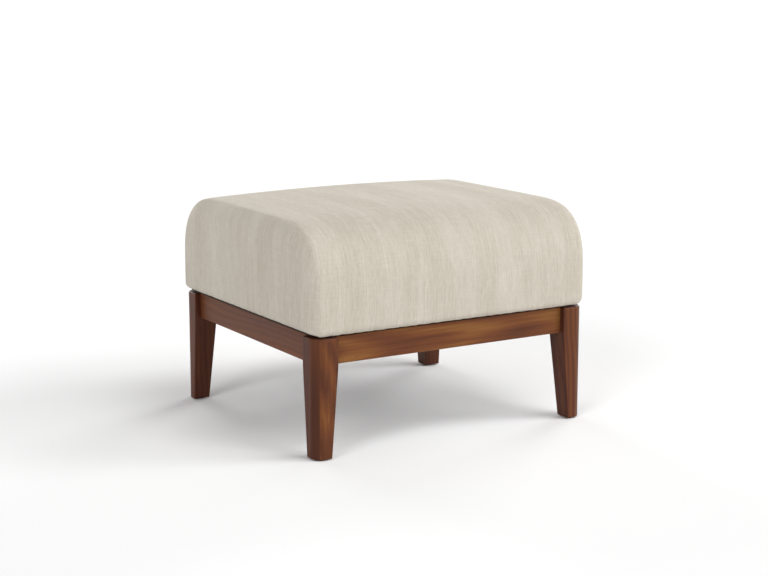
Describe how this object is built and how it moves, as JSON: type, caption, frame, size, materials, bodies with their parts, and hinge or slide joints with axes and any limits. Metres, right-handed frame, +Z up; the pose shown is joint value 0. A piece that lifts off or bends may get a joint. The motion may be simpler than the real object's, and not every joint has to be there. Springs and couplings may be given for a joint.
{
  "type": "glider ottoman",
  "caption": "Upholstered footstool with a waterfall seat that glides fore and aft on concealed swing links inside a low frame on tapered wooden legs.",
  "frame": {"origin": "on the floor, under the middle of the ottoman", "axes": "+Z up, X along the long front, the front towards -Y; the seat glides along Y"},
  "size_m": [0.6496, 0.5836, 0.457],
  "materials": {
    "walnut": "satin",
    "frame_wood": "matte",
    "plywood": "matte",
    "black_steel": "satin",
    "zinc_steel": "satin",
    "rubber": "matte",
    "nylon": "matte",
    "linen": "matte",
    "foam": "matte",
    "dust_cloth": "matte"
  },
  "bodies": {
    "leg_frame": {"leg_front_left": "walnut", "corner_block_front_left": "frame_wood", "corner_bolt_front_left": "zinc_steel", "foot_glide_front_left": "nylon", "upper_pivot_bolt_front_left": "zinc_steel", "stop_bumper_front_left": "rubber", "leg_front_right": "walnut", "corner_block_front_right": "frame_wood", "corner_bolt_front_right": "zinc_steel", "foot_glide_front_right": "nylon", "upper_pivot_bolt_front_right": "zinc_steel", "stop_bumper_front_right": "rubber", "leg_rear_left": "walnut", "corner_block_rear_left": "frame_wood", "corner_bolt_rear_left": "zinc_steel", "foot_glide_rear_left": "nylon", "upper_pivot_bolt_rear_left": "zinc_steel", "stop_bumper_rear_left": "rubber", "leg_rear_right": "walnut", "corner_block_rear_right": "frame_wood", "corner_bolt_rear_right": "zinc_steel", "foot_glide_rear_right": "nylon", "upper_pivot_bolt_rear_right": "zinc_steel", "stop_bumper_rear_right": "rubber", "rail_front": "walnut", "rail_rear": "walnut", "rail_left": "walnut", "rail_right": "walnut", "glide_base_bracket_left": "black_steel", "glide_base_bracket_right": "black_steel"},
    "seat": {"lower_pivot_bolt_front_left": "zinc_steel", "lower_pivot_bolt_front_right": "zinc_steel", "lower_pivot_bolt_rear_left": "zinc_steel", "lower_pivot_bolt_rear_right": "zinc_steel", "seat_board_front": "frame_wood", "seat_board_rear": "frame_wood", "seat_board_left": "frame_wood", "seat_board_right": "frame_wood", "glide_mount_rail_left": "frame_wood", "glide_mount_rail_right": "frame_wood", "seat_deck": "plywood", "foam_block": "foam", "cover_band": "linen", "cover_side_left": "linen", "cover_side_right": "linen", "glide_seat_bracket_left": "black_steel", "glide_seat_bracket_right": "black_steel", "dust_cover": "dust_cloth"},
    "link_front_left": {"swing_link_front_left": "black_steel", "upper_bearing_front_left": "zinc_steel", "lower_bearing_front_left": "zinc_steel"},
    "link_front_right": {"swing_link_front_right": "black_steel", "upper_bearing_front_right": "zinc_steel", "lower_bearing_front_right": "zinc_steel"},
    "link_rear_left": {"swing_link_rear_left": "black_steel", "upper_bearing_rear_left": "zinc_steel", "lower_bearing_rear_left": "zinc_steel"},
    "link_rear_right": {"swing_link_rear_right": "black_steel", "upper_bearing_rear_right": "zinc_steel", "lower_bearing_rear_right": "zinc_steel"}
  },
  "joints": [
    {"name": "glide", "type": "hinge", "parent": "leg_frame", "child": "link_front_left", "pos_m": [-0.2676, -0.10599, 0.288], "axis": [1, 0, 0], "range_deg": [-26, 26]},
    {"name": "swing_front_right", "type": "hinge", "parent": "leg_frame", "child": "link_front_right", "pos_m": [0.2676, -0.10599, 0.288], "axis": [1, 0, 0], "range_deg": [-26, 26]},
    {"name": "swing_rear_left", "type": "hinge", "parent": "leg_frame", "child": "link_rear_left", "pos_m": [-0.2676, 0.10599, 0.288], "axis": [1, 0, 0], "range_deg": [-26, 26]},
    {"name": "swing_rear_right", "type": "hinge", "parent": "leg_frame", "child": "link_rear_right", "pos_m": [0.2676, 0.10599, 0.288], "axis": [1, 0, 0], "range_deg": [-26, 26]},
    {"name": "seat_level", "type": "hinge", "parent": "link_front_left", "child": "seat", "pos_m": [-0.2676, -0.10599, 0.198], "axis": [1, 0, 0], "range_deg": [-26, 26]}
  ],
  "couplings": [
    {"joint": "swing_front_right", "follows": "glide", "ratio": 1},
    {"joint": "swing_rear_left", "follows": "glide", "ratio": 1},
    {"joint": "swing_rear_right", "follows": "glide", "ratio": 1},
    {"joint": "seat_level", "follows": "glide", "ratio": -1}
  ]
}
